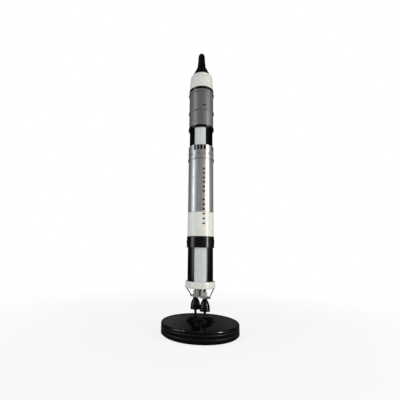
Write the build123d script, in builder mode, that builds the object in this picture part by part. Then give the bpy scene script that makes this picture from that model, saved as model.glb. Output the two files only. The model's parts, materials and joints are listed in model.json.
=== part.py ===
from build123d import *
from math import cos, radians, sin
import os

# Display model of a two-stage launch vehicle with a crewed capsule, standing on two pins in a round base.
# Millimetres, +Z up. The origin is the middle of the base's underside. The two engines stand on the X axis.
# Heights are stacked upwards from the base: one length can change and all that stands on it follows.

# Fits between pieces
glue_gap = 0.05
slip_gap = 0.1
felt_gap = 0.5

# Stand
base_radius = 88.2
base_edge_height = 26.0
base_top = 38.0
boss_radius = 39.5
boss_flat_radius = 22.0
rim_width = 6.0
rim_step = 1.0
dish_rise = 1.0
shoulder_radius = 3.0
foot_inset = 3.0
foot_rise = 2.6
groove_heights = (10.4, 19.0)
groove_half_height = 0.9
groove_depth = 1.1
felt_inset = 5.0
felt_thickness = 1.5
felt_recess = 1.0
engine_spacing = 32.0
pin_radius = 2.9
pin_engagement = 23.0
pin_tail = 1.2
pin_tip_chamfer = 0.5
nut_width = 8.0
nut_height = 4.0
washer_radius = 5.5
washer_thickness = 1.0
nut_pocket_radius = 7.0
nut_pocket_depth = 8.0
ferrule_radius = 4.4
ferrule_flange = 1.5
ferrule_sleeve_radius = 3.5
ferrule_sleeve_length = 6.0

# Engines and their bay
bell_standoff = 12.0
bell_length = 28.0
bell_exit_radius = 11.3
bell_wall = 1.0
bell_neck_radius = 5.0
bell_neck_length = 1.6
bell_flange_radius = 6.2
bell_flange_height = 2.0
bell_band_height = 1.3
bell_band_depth = 0.5
bell_band_gap = 2.6
bell_throat_depth = 6.0
frame_thickness = 3.0
frame_half_length = 29.0
frame_half_width = 7.0
frame_corner_radius = 2.0
frame_pad_radius = 10.5
frame_hole_radius = 3.5
bay_height = 20.0
strut_radius = 1.3
strut_foot_inset = 2.2
strut_top_reach = 1.3
strut_pad_radius = 2.0
strut_pad_height = 1.6
post_radius = 1.4
post_x = 8.0
post_y = 2.6
column_radius = 2.4
feed_width = 2.0
feed_lift = 0.8
feed_height = 2.8
chamber_radius = 5.0
chamber_length = 7.5
dome_flange_radius = 6.1
dome_flange_height = 1.4
dome_height = 3.2
dome_round = 1.9
gimbal_radius = 2.6
gimbal_pad_radius = 4.2
gimbal_pad_height = 2.4
pump_offset = 9.2
pump_radius = 2.9
pump_length = 12.0
pump_lift = 1.5
pump_arm_width = 3.6
pump_arm_lift = 1.2
pump_arm_height = 4.0
line_radius = 1.0

# First stage
wall = 2.0
main_radius = 30.9
white_barrel_rise = 0.4
aft_barrel_inset = 1.0
bulkhead_thickness = 6.0
skirt_overhang = 1.6
skirt_height = 15.0
skirt_top_rise = 4.5
skirt_bottom_rise = 5.0
skirt_chamfer = 0.9
aft_barrel_length = 102.6
band_height = 25.8
band_rise = 1.2
band_lip_height = 2.2
band_lip_depth = 0.7
band_box_count = 8
band_box_width = 7.0
band_box_height = 9.0
band_box_depth = 0.5
white_barrel_length = 70.0
silver_barrel_length = 130.8
coupler_length = 24.0
coupler_wall = 2.0
collar_length = 35.0
collar_rise = 0.5
collar_groove_drop = 25.0
collar_groove_height = 0.8
collar_groove_depth = 0.4
collar_bead_height = 2.6
collar_bead_depth = 1.4
vent_depth = 13.2
vent_width = 5.0
vent_pitch_deg = 15.2
vents_per_group = 4
vent_groups = 4
vent_centre_deg = -48.0
deck_thickness = 4.0
screw_head_radius = 1.5
screw_head_height = 0.6
screw_shank_radius = 0.6
screw_length = 6.0
screw_pitches = (-2.5, -0.5, 1.5, 2.5)

# Second stage
skirt_two_inset = 1.9
skirt_two_length = 45.7
ring_two_height = 6.3
ring_two_rise = 3.2
grey_barrel_rise = 1.9
grey_barrel_length = 98.0
hoop_height = 3.0
hoop_depth = 2.0
hoop_rises = (41.0, 91.5)
top_ring_height = 6.7
top_ring_rise = 0.7
aft_spigot_height = 3.0
aft_bulkhead_two_rise = 4.0
nozzle_length = 15.0
nozzle_exit_radius = 9.0
nozzle_neck_radius = 5.0
nozzle_wall = 1.0
forward_bulkhead_thickness = 12.0
socket_depth = 10.5

# Spacecraft
spigot_radius = 10.0
spigot_length = 10.0
adapter_plate_thickness = 5.0
adapter_base_inset = 1.0
adapter_lower_taper = 2.2
adapter_upper_taper = 4.0
adapter_shoulder_inset = 0.6
adapter_shoulder_drop = 3.8
equipment_height = 32.4
retro_height = 11.3
adapter_wall = 1.6
retro_plate_thickness = 2.0
heat_shield_thickness = 1.6
heat_shield_inset = 0.2
cabin_base_inset = 0.8
cabin_top_radius = 11.0
cabin_height = 26.4
rcs_radius = 10.8
rcs_top_radius = 10.4
rcs_height = 9.5
nose_base_radius = 10.0
nose_top_radius = 8.6
nose_height = 21.5
nose_cap_height = 11.7
peg_radius = 5.0
peg_length = 4.0
hatch_low = 6.0
hatch_high = 20.0
hatch_half_width = 4.8
hatch_rise = 0.5
hatch_offset = 6.4
hatch_centre_deg = -42.0

# Heights, from the table up
foot_z = felt_thickness - felt_recess
bell_exit_z = base_top + bell_standoff
frame_z = bell_exit_z + bell_length
frame_top_z = frame_z + frame_thickness
aft_z = frame_top_z + bay_height
band_mid_z = aft_z + aft_barrel_length
white_top_z = band_mid_z + white_barrel_length
silver_top_z = white_top_z + silver_barrel_length
split_z = silver_top_z + collar_length
ring_two_z = split_z + skirt_two_length
grey_z = ring_two_z + ring_two_height
top_ring_z = grey_z + grey_barrel_length
craft_z = top_ring_z + top_ring_height
retro_z = craft_z + equipment_height
shield_z = retro_z + retro_height
cabin_z = shield_z + heat_shield_thickness
rcs_z = cabin_z + cabin_height
nose_z = rcs_z + rcs_height
nose_cap_z = nose_z + nose_height

# Places and sizes shared by several pieces
engine_x = engine_spacing / 2
sides = {"left": -1, "right": 1}
engine_spots = [(-engine_x, 0), (engine_x, 0)]
corner_signs = [(-1, -1), (-1, 1), (1, -1), (1, 1)]
strut_signs = [(-1, -1), (1, 1)]
felt_radius = base_radius - felt_inset
white_radius = main_radius + white_barrel_rise
aft_barrel_radius = main_radius - aft_barrel_inset
skirt_top_radius = aft_barrel_radius + skirt_top_rise
skirt_bottom_radius = aft_barrel_radius + skirt_bottom_rise
band_radius = white_radius + band_rise
collar_radius = main_radius + collar_rise
skirt_two_radius = main_radius - skirt_two_inset
ring_two_radius = skirt_two_radius + ring_two_rise
grey_barrel_radius = skirt_two_radius + grey_barrel_rise
top_ring_radius = grey_barrel_radius + top_ring_rise
adapter_base_radius = top_ring_radius - adapter_base_inset
adapter_split_radius = adapter_base_radius - adapter_lower_taper
adapter_top_radius = adapter_split_radius - adapter_upper_taper
heat_shield_radius = adapter_top_radius - heat_shield_inset
cabin_base_radius = adapter_top_radius - cabin_base_inset
bore_one = aft_barrel_radius - wall
bore_two = skirt_two_radius - wall
skirt_z = aft_z - skirt_overhang
ring_bore = aft_barrel_radius + glue_gap


def save(block, node):
    """Labels a finished piece and writes it as parts/NODE.step."""
    block.part.label = node
    export_step(block.part, f"parts/{node}.step")


def tube(inner, outer, low, high):
    """Adds an upright tube about Z to the active part."""
    with BuildSketch(Plane.XY.offset(low)) as ring:
        Circle(outer)
        if inner > 0:
            Circle(inner, mode=Mode.SUBTRACT)
    extrude(ring.sketch, amount=high - low)


def posts(spots, radius, low, high, bore=0):
    """Adds one upright round bar, or tube, at each of the spots to the active part."""
    with BuildSketch(Plane.XY.offset(low)) as rounds:
        with Locations(*spots):
            Circle(radius)
            if bore > 0:
                Circle(bore, mode=Mode.SUBTRACT)
    extrude(rounds.sketch, amount=high - low)


def turned(points):
    """Adds the straight-sided outline in the XZ plane, turned about Z, to the active part."""
    with BuildSketch(Plane.XZ) as outline:
        with BuildLine():
            Polyline(*points, close=True)
        make_face()
    revolve(outline.sketch, axis=Axis.Z)


def sideways(angle_deg, height):
    """A plane on the Z axis that looks out along the angle, with its own Y upwards."""
    across = (-sin(radians(angle_deg)), cos(radians(angle_deg)), 0)
    outwards = (cos(radians(angle_deg)), sin(radians(angle_deg)), 0)
    return Plane((0, 0, height), x_dir=across, z_dir=outwards)


os.makedirs("parts", exist_ok=True)

# ---- Stand: a moulded disc on felt, with two steel pins held by nuts from below ---------------------

rim_inner = base_radius - rim_width
pocket_top_z = felt_thickness + nut_pocket_depth
dish_end = (boss_radius, base_edge_height + dish_rise)
boss_middle = ((boss_radius + boss_flat_radius) / 2, (base_top + base_edge_height + dish_rise) / 2)
groove_points = [
    point
    for height in groove_heights
    for point in (
        (base_radius, height - groove_half_height),
        (base_radius - groove_depth, height),
        (base_radius, height + groove_half_height),
    )
]

with BuildPart() as base_disc:
    with BuildSketch(Plane.XZ):
        with BuildLine():
            side = Polyline(
                (0, felt_thickness),
                (felt_radius + felt_gap, felt_thickness),
                (felt_radius + felt_gap, foot_z),
                (base_radius - foot_inset, foot_z),
                (base_radius, foot_z + foot_rise),
                *groove_points,
                (base_radius, base_edge_height - shoulder_radius),
            )
            shoulder = RadiusArc(
                side @ 1,
                (base_radius - shoulder_radius, base_edge_height),
                -shoulder_radius,
            )
            dish = Polyline(
                shoulder @ 1,
                (rim_inner, base_edge_height),
                (rim_inner - rim_step, base_edge_height - rim_step),
                dish_end,
            )
            boss = Spline(
                dish_end,
                boss_middle,
                (boss_flat_radius, base_top),
                tangents=((-1.0, 0.1), (-1.0, 0.0)),
            )
            Polyline(boss @ 1, (0, base_top), (0, felt_thickness))
        make_face()
    revolve(axis=Axis.Z)
    with BuildSketch(Plane.XY.offset(felt_thickness)):
        with Locations(*engine_spots):
            Circle(nut_pocket_radius)
    extrude(amount=nut_pocket_depth, mode=Mode.SUBTRACT)
    with BuildSketch(Plane.XY.offset(pocket_top_z)):
        with Locations(*engine_spots):
            Circle(pin_radius + slip_gap)
    extrude(amount=base_top - pocket_top_z, mode=Mode.SUBTRACT)
    with BuildSketch(Plane.XY.offset(base_top - ferrule_sleeve_length)):
        with Locations(*engine_spots):
            Circle(ferrule_sleeve_radius + glue_gap)
    extrude(amount=ferrule_sleeve_length, mode=Mode.SUBTRACT)
save(base_disc, "base_disc")

with BuildPart() as base_felt:
    tube(0, felt_radius, 0, felt_thickness)
save(base_felt, "base_felt")

washer_z = pocket_top_z - washer_thickness
nut_z = washer_z - nut_height
pin_bottom_z = nut_z - pin_tail
pin_top_z = bell_exit_z + pin_engagement

for side_name, sign in sides.items():
    with BuildPart() as support_pin:
        posts([(sign * engine_x, 0)], pin_radius, pin_bottom_z, pin_top_z)
        chamfer(support_pin.faces().sort_by(Axis.Z)[-1].edges(), pin_tip_chamfer)
    save(support_pin, f"support_pin_{side_name}")

with BuildPart() as pin_ferrules:
    posts(engine_spots, ferrule_radius, base_top, base_top + ferrule_flange, bore=pin_radius + glue_gap)
    posts(
        engine_spots,
        ferrule_sleeve_radius,
        base_top - ferrule_sleeve_length,
        base_top,
        bore=pin_radius + glue_gap,
    )
save(pin_ferrules, "pin_ferrules")

with BuildPart() as pin_washers:
    posts(engine_spots, washer_radius, washer_z, pocket_top_z, bore=pin_radius + glue_gap)
save(pin_washers, "pin_washers")

with BuildPart() as pin_nuts:
    with BuildSketch(Plane.XY.offset(nut_z)):
        with Locations(*engine_spots):
            RegularPolygon(nut_width / 2, 6, major_radius=False)
            Circle(pin_radius + glue_gap, mode=Mode.SUBTRACT)
    extrude(amount=nut_height)
save(pin_nuts, "pin_nuts")

# ---- Engines: hollow bells that the pins stand in, hung from a plate under the first stage ----------

flange_z = frame_z - bell_flange_height
neck_z = flange_z - bell_neck_length
upper_band_z = bell_exit_z + bell_band_height + bell_band_gap
upper_band_top_z = upper_band_z + bell_band_height
band_outer = bell_exit_radius + bell_band_depth
socket_radius = pin_radius + slip_gap

for side_name, sign in sides.items():
    centre = sign * engine_x
    with BuildPart() as engine_bell:
        with BuildSketch(Plane.XZ):
            with BuildLine():
                lip = Polyline(
                    (centre + bell_exit_radius - bell_wall, bell_exit_z),
                    (centre + band_outer, bell_exit_z),
                    (centre + band_outer, bell_exit_z + bell_band_height),
                    (centre + bell_exit_radius, bell_exit_z + bell_band_height),
                    (centre + bell_exit_radius, upper_band_z),
                    (centre + band_outer, upper_band_z),
                    (centre + band_outer, upper_band_top_z),
                    (centre + bell_exit_radius, upper_band_top_z),
                )
                flare = Spline(
                    lip @ 1,
                    (centre + bell_neck_radius, neck_z),
                    tangents=((0.0, 1.0), (-0.65, 1.0)),
                    tangent_scalars=(1.2, 1.0),
                )
                top = Polyline(
                    flare @ 1,
                    (centre + bell_neck_radius, flange_z),
                    (centre + bell_flange_radius, flange_z),
                    (centre + bell_flange_radius, frame_z),
                    (centre, frame_z),
                    (centre, pin_top_z),
                    (centre + socket_radius, pin_top_z),
                    (centre + socket_radius, neck_z - bell_throat_depth),
                )
                Spline(
                    top @ 1,
                    lip @ 0,
                    tangents=((1.0, -0.8), (0.0, -1.0)),
                    tangent_scalars=(0.8, 1.4),
                )
            make_face()
        revolve(axis=Axis((centre, 0, 0), (0, 0, 1)))
    save(engine_bell, f"engine_bell_{side_name}")

chamber_top_z = frame_top_z + chamber_length
dome_z = chamber_top_z + dome_flange_height
gimbal_z = dome_z + dome_height
gimbal_pad_z = aft_z - gimbal_pad_height
pump_z = frame_top_z + pump_lift
pump_top_z = pump_z + pump_length

for side_name, sign in sides.items():
    spot = [(sign * engine_x, 0)]
    pump_y = -sign * pump_offset
    with BuildPart() as thrust_chamber:
        posts(spot, frame_hole_radius - glue_gap, frame_z, frame_top_z)
        posts(spot, chamber_radius, frame_top_z, chamber_top_z)
        posts(spot, dome_flange_radius, chamber_top_z, dome_z)
        posts(spot, chamber_radius, dome_z, gimbal_z)
        fillet(thrust_chamber.faces().sort_by(Axis.Z)[-1].edges(), dome_round)
    save(thrust_chamber, f"thrust_chamber_{side_name}")

    with BuildPart() as gimbal_block:
        posts(spot, gimbal_radius, gimbal_z, gimbal_pad_z)
        posts(spot, gimbal_pad_radius, gimbal_pad_z, aft_z)
    save(gimbal_block, f"gimbal_block_{side_name}")

    with BuildPart() as turbopump:
        with BuildSketch(Plane.XY.offset(pump_z + pump_arm_lift)):
            with Locations((sign * engine_x, pump_y / 2)):
                Rectangle(pump_arm_width, pump_offset)
            with Locations(*spot):
                Circle(chamber_radius + glue_gap, mode=Mode.SUBTRACT)
        extrude(amount=pump_arm_height)
        posts([(sign * engine_x, pump_y)], pump_radius, pump_z, pump_top_z)
    save(turbopump, f"turbopump_{side_name}")

    with BuildPart() as propellant_line:
        posts([(sign * engine_x, pump_y)], line_radius, pump_top_z, aft_z)
    save(propellant_line, f"propellant_line_{side_name}")

with BuildPart() as engine_frame:
    with BuildSketch(Plane.XY.offset(frame_z)):
        RectangleRounded(2 * frame_half_length, 2 * frame_half_width, frame_corner_radius)
        with Locations(*engine_spots):
            Circle(frame_pad_radius)
        with Locations(*engine_spots):
            Circle(frame_hole_radius, mode=Mode.SUBTRACT)
    extrude(amount=frame_thickness)
save(engine_frame, "engine_frame")

foot_x = frame_half_length - strut_foot_inset
foot_y = frame_half_width - strut_foot_inset
top_xy = (ring_bore + strut_top_reach) * cos(radians(45))
strut_top_z = skirt_z - strut_pad_height

with BuildPart() as frame_struts:
    for x_sign, y_sign in strut_signs:
        low = Vector(x_sign * foot_x, y_sign * foot_y, frame_top_z)
        high = Vector(x_sign * top_xy, y_sign * top_xy, strut_top_z)
        run = (high - low).normalized()
        with BuildSketch(Plane(low - run * strut_radius * 2, z_dir=run)):
            Circle(strut_radius)
        extrude(amount=(high - low).length + strut_radius * 4)
    split(bisect_by=Plane.XY.offset(frame_top_z), keep=Keep.TOP)
    split(bisect_by=Plane.XY.offset(strut_top_z), keep=Keep.BOTTOM)
save(frame_struts, "frame_struts")

with BuildPart() as strut_pads:
    posts([(x * top_xy, y * top_xy) for x, y in strut_signs], strut_pad_radius, strut_top_z, skirt_z)
save(strut_pads, "strut_pads")

with BuildPart() as thrust_posts:
    posts([(x * post_x, y * post_y) for x, y in corner_signs], post_radius, frame_top_z, aft_z)
save(thrust_posts, "thrust_posts")

with BuildPart() as centre_column:
    tube(0, column_radius, frame_top_z, aft_z)
    with BuildSketch(Plane.XY.offset(gimbal_z + feed_lift)):
        with Locations((-engine_x / 2, 0)):
            Rectangle(engine_x, feed_width)
        with Locations((-engine_x, 0)):
            Circle(gimbal_radius + glue_gap, mode=Mode.SUBTRACT)
    extrude(amount=feed_height)
save(centre_column, "centre_column")

# ---- First stage: thin tubes end to end, joined inside by sleeves -----------------------------------

with BuildPart() as aft_bulkhead:
    tube(0, bore_one - glue_gap, aft_z, aft_z + bulkhead_thickness)
save(aft_bulkhead, "aft_bulkhead")

with BuildPart() as aft_skirt:
    turned(
        [
            (ring_bore, skirt_z),
            (skirt_bottom_radius - skirt_chamfer, skirt_z),
            (skirt_bottom_radius, skirt_z + skirt_chamfer),
            (skirt_top_radius, skirt_z + skirt_height),
            (ring_bore, skirt_z + skirt_height),
        ]
    )
save(aft_skirt, "aft_skirt")

with BuildPart() as aft_barrel:
    tube(bore_one, aft_barrel_radius, aft_z, band_mid_z)
save(aft_barrel, "aft_barrel")

with BuildPart() as white_barrel:
    tube(bore_one, white_radius, band_mid_z, white_top_z)
save(white_barrel, "white_barrel")

with BuildPart() as silver_barrel:
    tube(bore_one, main_radius, white_top_z, silver_top_z)
save(silver_barrel, "silver_barrel")

seams_one = {"lower": band_mid_z, "middle": white_top_z, "upper": silver_top_z}
sleeve_outer = bore_one - glue_gap

for level, seam_z in seams_one.items():
    with BuildPart() as coupler:
        tube(
            sleeve_outer - coupler_wall,
            sleeve_outer,
            seam_z - coupler_length / 2,
            seam_z + coupler_length / 2,
        )
    save(coupler, f"coupler_{level}")

band_z = band_mid_z - band_height / 2
band_lip_radius = band_radius + band_lip_depth
band_inner = white_radius + glue_gap
box_root = (band_inner + band_radius) / 2

with BuildPart() as band_ring:
    tube(ring_bore, band_radius, band_z, band_mid_z)
    tube(band_inner, band_radius, band_mid_z, band_z + band_height)
    tube(ring_bore, band_lip_radius, band_z, band_z + band_lip_height)
    for number in range(band_box_count):
        with BuildSketch(sideways(number * 360 / band_box_count, band_mid_z).offset(box_root)):
            Rectangle(band_box_width, band_box_height)
        extrude(amount=band_radius + band_box_depth - box_root)
save(band_ring, "band_ring")

deck_z = silver_top_z + coupler_length / 2
screw_z = deck_z + deck_thickness / 2
groove_z = split_z - collar_groove_drop
screw_seat = collar_radius - screw_length
vent_angles = [
    vent_centre_deg + group * 360 / vent_groups + (number - (vents_per_group - 1) / 2) * vent_pitch_deg
    for group in range(vent_groups)
    for number in range(vents_per_group)
]
screw_angles = [
    vent_centre_deg + group * 360 / vent_groups + pitches * vent_pitch_deg
    for group in range(vent_groups)
    for pitches in screw_pitches
]

with BuildPart() as interstage_collar:
    tube(bore_one, collar_radius, silver_top_z, split_z)
    tube(bore_one, collar_radius + collar_bead_depth, silver_top_z, silver_top_z + collar_bead_height)
    with BuildSketch(Plane.XY.offset(groove_z)):
        Circle(collar_radius + wall)
        Circle(collar_radius - collar_groove_depth, mode=Mode.SUBTRACT)
    extrude(amount=collar_groove_height, mode=Mode.SUBTRACT)
    for angle in vent_angles:
        with BuildSketch(sideways(angle, split_z)):
            Rectangle(vent_width, 2 * vent_depth)
        extrude(amount=collar_radius + wall, mode=Mode.SUBTRACT)
    for angle in screw_angles:
        with BuildSketch(sideways(angle, screw_z)):
            Circle(screw_shank_radius + slip_gap)
        extrude(amount=collar_radius + wall, mode=Mode.SUBTRACT)
save(interstage_collar, "interstage_collar")

with BuildPart() as interstage_deck:
    tube(0, bore_one - glue_gap, deck_z, deck_z + deck_thickness)
    for angle in screw_angles:
        with BuildSketch(sideways(angle, screw_z).offset(screw_seat - slip_gap)):
            Circle(screw_shank_radius + glue_gap)
        extrude(amount=screw_length, mode=Mode.SUBTRACT)
save(interstage_deck, "interstage_deck")

with BuildPart() as interstage_screws:
    for angle in screw_angles:
        with BuildSketch(sideways(angle, screw_z).offset(screw_seat)):
            Circle(screw_shank_radius)
        extrude(amount=screw_length)
        with BuildSketch(sideways(angle, screw_z).offset(collar_radius)):
            Circle(screw_head_radius)
        extrude(amount=screw_head_height)
save(interstage_screws, "interstage_screws")

# ---- Second stage: stands on the collar, centred by a spigot, and lifts off -------------------------

with BuildPart() as aft_bulkhead_two:
    tube(0, bore_two - glue_gap, split_z, split_z + aft_bulkhead_two_rise)
    tube(0, bore_one - slip_gap, split_z - aft_spigot_height, split_z)
save(aft_bulkhead_two, "aft_bulkhead_two")

nozzle_top_z = split_z - aft_spigot_height
nozzle_exit_z = nozzle_top_z - nozzle_length

with BuildPart() as stage_two_nozzle:
    with BuildSketch(Plane.XZ):
        with BuildLine():
            outer = Spline(
                (nozzle_exit_radius, nozzle_exit_z),
                (nozzle_neck_radius, nozzle_top_z),
                tangents=((-0.2, 1.0), (0.0, 1.0)),
            )
            roof = Polyline(
                outer @ 1,
                (0, nozzle_top_z),
                (0, nozzle_top_z - nozzle_wall * 2),
                (nozzle_neck_radius - nozzle_wall, nozzle_top_z - nozzle_wall * 2),
            )
            inner = Spline(
                roof @ 1,
                (nozzle_exit_radius - nozzle_wall, nozzle_exit_z),
                tangents=((0.0, -1.0), (0.2, -1.0)),
            )
            Line(inner @ 1, outer @ 0)
        make_face()
    revolve(axis=Axis.Z)
save(stage_two_nozzle, "stage_two_nozzle")

with BuildPart() as striped_skirt:
    tube(bore_two, skirt_two_radius, split_z, ring_two_z)
save(striped_skirt, "striped_skirt")

with BuildPart() as skirt_ring:
    tube(bore_two, ring_two_radius, ring_two_z, grey_z)
save(skirt_ring, "skirt_ring")

ring_two_mid_z = (ring_two_z + grey_z) / 2

with BuildPart() as coupler_stage_two:
    tube(
        bore_two - glue_gap - coupler_wall,
        bore_two - glue_gap,
        ring_two_mid_z - coupler_length / 2,
        ring_two_mid_z + coupler_length / 2,
    )
save(coupler_stage_two, "coupler_stage_two")

with BuildPart() as grey_barrel:
    tube(bore_two, grey_barrel_radius, grey_z, top_ring_z)
save(grey_barrel, "grey_barrel")

with BuildPart() as barrel_hoops:
    for rise in hoop_rises:
        tube(
            grey_barrel_radius + glue_gap,
            grey_barrel_radius + hoop_depth,
            grey_z + rise - hoop_height / 2,
            grey_z + rise + hoop_height / 2,
        )
save(barrel_hoops, "barrel_hoops")

with BuildPart() as forward_ring:
    tube(bore_two, top_ring_radius, top_ring_z, craft_z)
save(forward_ring, "forward_ring")

with BuildPart() as forward_bulkhead:
    tube(0, bore_two - glue_gap, craft_z - forward_bulkhead_thickness, craft_z)
    with BuildSketch(Plane.XY.offset(craft_z - socket_depth)):
        Circle(spigot_radius + slip_gap)
    extrude(amount=socket_depth, mode=Mode.SUBTRACT)
save(forward_bulkhead, "forward_bulkhead")

# ---- Spacecraft: an adapter cone and a capsule, plugged into the second stage -----------------------

plate_top_z = craft_z + adapter_plate_thickness
slope = (adapter_base_radius - adapter_split_radius) / equipment_height
plate_top_radius = adapter_base_radius - slope * adapter_plate_thickness
plate_inset = adapter_wall + glue_gap

with BuildPart() as adapter_plate:
    turned(
        [
            (0, craft_z),
            (adapter_base_radius - plate_inset, craft_z),
            (plate_top_radius - plate_inset, plate_top_z),
            (0, plate_top_z),
        ]
    )
    tube(0, spigot_radius, craft_z - spigot_length, craft_z)
save(adapter_plate, "adapter_plate")

with BuildPart() as equipment_adapter:
    turned(
        [
            (adapter_base_radius - adapter_wall, craft_z),
            (adapter_base_radius, craft_z),
            (adapter_split_radius, retro_z),
            (adapter_split_radius - adapter_wall, retro_z),
        ]
    )
save(equipment_adapter, "equipment_adapter")

with BuildPart() as retro_adapter:
    turned(
        [
            (0, retro_z),
            (adapter_split_radius, retro_z),
            (adapter_split_radius - adapter_shoulder_inset, shield_z - adapter_shoulder_drop),
            (adapter_top_radius, shield_z),
            (adapter_top_radius - adapter_wall, shield_z),
            (adapter_split_radius - adapter_wall, retro_z + retro_plate_thickness),
            (0, retro_z + retro_plate_thickness),
        ]
    )
save(retro_adapter, "retro_adapter")

with BuildPart() as heat_shield:
    tube(0, heat_shield_radius, shield_z, cabin_z)
save(heat_shield, "heat_shield")


def peg(joint_z):
    """Adds the centring peg that rises from a piece's top face to the active part."""
    tube(0, peg_radius, joint_z, joint_z + peg_length)


def peg_socket(joint_z):
    """Cuts the blind hole for a centring peg into the underside of the active part."""
    with BuildSketch(Plane.XY.offset(joint_z)) as mouth:
        Circle(peg_radius + glue_gap)
    extrude(mouth.sketch, amount=peg_length + slip_gap, mode=Mode.SUBTRACT)


with BuildPart() as cabin:
    turned([(0, cabin_z), (cabin_base_radius, cabin_z), (cabin_top_radius, rcs_z), (0, rcs_z)])
    peg(rcs_z)
save(cabin, "cabin")

cabin_slope = (cabin_base_radius - cabin_top_radius) / cabin_height
hatch_foot = cabin_base_radius - cabin_slope * hatch_low + glue_gap
hatch_head = cabin_base_radius - cabin_slope * hatch_high + glue_gap

with BuildPart() as cabin_hatches:
    with BuildSketch(sideways(hatch_centre_deg, cabin_z + (hatch_low + hatch_high) / 2)):
        with Locations((-hatch_offset, 0), (hatch_offset, 0)):
            Rectangle(2 * hatch_half_width, hatch_high - hatch_low)
    extrude(amount=cabin_base_radius)
    with BuildSketch(Plane.XZ):
        with BuildLine():
            Polyline(
                (hatch_foot, cabin_z + hatch_low),
                (hatch_foot + hatch_rise, cabin_z + hatch_low),
                (hatch_head + hatch_rise, cabin_z + hatch_high),
                (hatch_head, cabin_z + hatch_high),
                close=True,
            )
        make_face()
    revolve(axis=Axis.Z, mode=Mode.INTERSECT)
save(cabin_hatches, "cabin_hatches")

with BuildPart() as rcs_section:
    turned([(0, rcs_z), (rcs_radius, rcs_z), (rcs_top_radius, nose_z), (0, nose_z)])
    peg_socket(rcs_z)
    peg(nose_z)
save(rcs_section, "rcs_section")

with BuildPart() as nose_section:
    turned([(0, nose_z), (nose_base_radius, nose_z), (nose_top_radius, nose_cap_z), (0, nose_cap_z)])
    peg_socket(nose_z)
    peg(nose_cap_z)
save(nose_section, "nose_section")

with BuildPart() as nose_cap:
    with BuildSketch(Plane.XZ):
        with BuildLine():
            dome = Spline(
                (nose_top_radius, nose_cap_z),
                (nose_top_radius * 0.8, nose_cap_z + nose_cap_height * 0.5),
                (0, nose_cap_z + nose_cap_height),
                tangents=((-0.1, 1.0), (-1.0, 0.0)),
            )
            Polyline(dome @ 1, (0, nose_cap_z), dome @ 0)
        make_face()
    revolve(axis=Axis.Z)
    peg_socket(nose_cap_z)
save(nose_cap, "nose_cap")
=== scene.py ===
import json
from math import cos, pi, radians, sin
import bmesh
import bpy
from mathutils import Matrix, Vector


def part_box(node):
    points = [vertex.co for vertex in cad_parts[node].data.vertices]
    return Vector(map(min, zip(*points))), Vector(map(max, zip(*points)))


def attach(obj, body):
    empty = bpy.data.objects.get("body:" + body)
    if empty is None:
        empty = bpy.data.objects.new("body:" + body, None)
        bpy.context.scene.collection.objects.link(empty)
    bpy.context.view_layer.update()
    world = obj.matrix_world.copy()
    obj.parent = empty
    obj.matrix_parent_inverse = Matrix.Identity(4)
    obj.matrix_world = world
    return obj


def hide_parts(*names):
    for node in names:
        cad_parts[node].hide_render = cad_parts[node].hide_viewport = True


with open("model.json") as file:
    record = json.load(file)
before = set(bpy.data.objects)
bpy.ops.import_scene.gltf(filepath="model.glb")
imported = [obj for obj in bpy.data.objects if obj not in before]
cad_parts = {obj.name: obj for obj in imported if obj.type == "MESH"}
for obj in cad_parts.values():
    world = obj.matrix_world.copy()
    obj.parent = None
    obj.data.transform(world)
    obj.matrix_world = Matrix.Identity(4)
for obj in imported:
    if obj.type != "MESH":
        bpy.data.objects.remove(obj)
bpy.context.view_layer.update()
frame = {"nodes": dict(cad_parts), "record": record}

mm = 0.001
scene = bpy.context.scene
zAxis = Vector((0, 0, 1))

# the camera: millimetres and degrees, with its height over the table
view = {
    "azimuth": 48.0,
    "distance": 678.6,
    "height": 180.0,
    "pitch": 10.5,
    "roll": 1.12,
    "yaw": 4.1,
    "shift": 0.0475,
    "lens": 25.2,
}


def placeCamera():
    camera = bpy.data.objects.new("camera", bpy.data.cameras.new("camera"))
    scene.collection.objects.link(camera)
    turn = radians(view["azimuth"])
    away = view["distance"] * mm
    camera.location = (away * sin(turn), -away * cos(turn), view["height"] * mm)
    aim = Matrix.Rotation(turn + radians(view["yaw"]), 4, "Z")
    aim = aim @ Matrix.Rotation(pi / 2 + radians(view["pitch"]), 4, "X")
    camera.rotation_euler = (aim @ Matrix.Rotation(radians(view["roll"]), 4, "Z")).to_euler()
    camera.data.lens = view["lens"]
    camera.data.shift_x = view["shift"]
    camera.data.clip_start = 0.02
    scene.camera = camera


# metres, and sides in degrees round the table from the camera, to its right as it looks at the rocket
studio = {
    "world": 0.46,  # what the world lights the object with, against 1 for the backdrop that is seen
    "lampReach": 1.3,
    "lampDrop": 0.55,  # a lamp aims this far below itself, or along the table if it hangs lower
    "drapeReach": 1.9,
    "drapeHeight": 3.2,
    "drapeLevels": (
        (-180, 0.04), (-176, 0.05), (-171, 0.11), (-125, 0.03), (-100, 0.04), (-86, 0.5), (-50, 0.5),
        (-38, 0.18), (-15, 0.15), (15, 0.17), (36, 0.28), (46, 0.9), (74, 0.9), (88, 0.3), (102, 0.05),
        (125, 0.04), (150, 0.04), (171, 0.08), (176, 0.05), (180, 0.04),
    ),
    "drapeShade": (0.9, 2.0, 0.2),  # the height where it starts to darken, where it has, and what is left
    "drapeFoot": 0.25,  # it darkens below this height too
    "floorShade": 0.18,
    "floorReach": 0.9,  # how far the floor holds the shadow before it is plain white
    "floorGlow": 0.05,  # how brightly a reflection sees the floor
}
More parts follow.
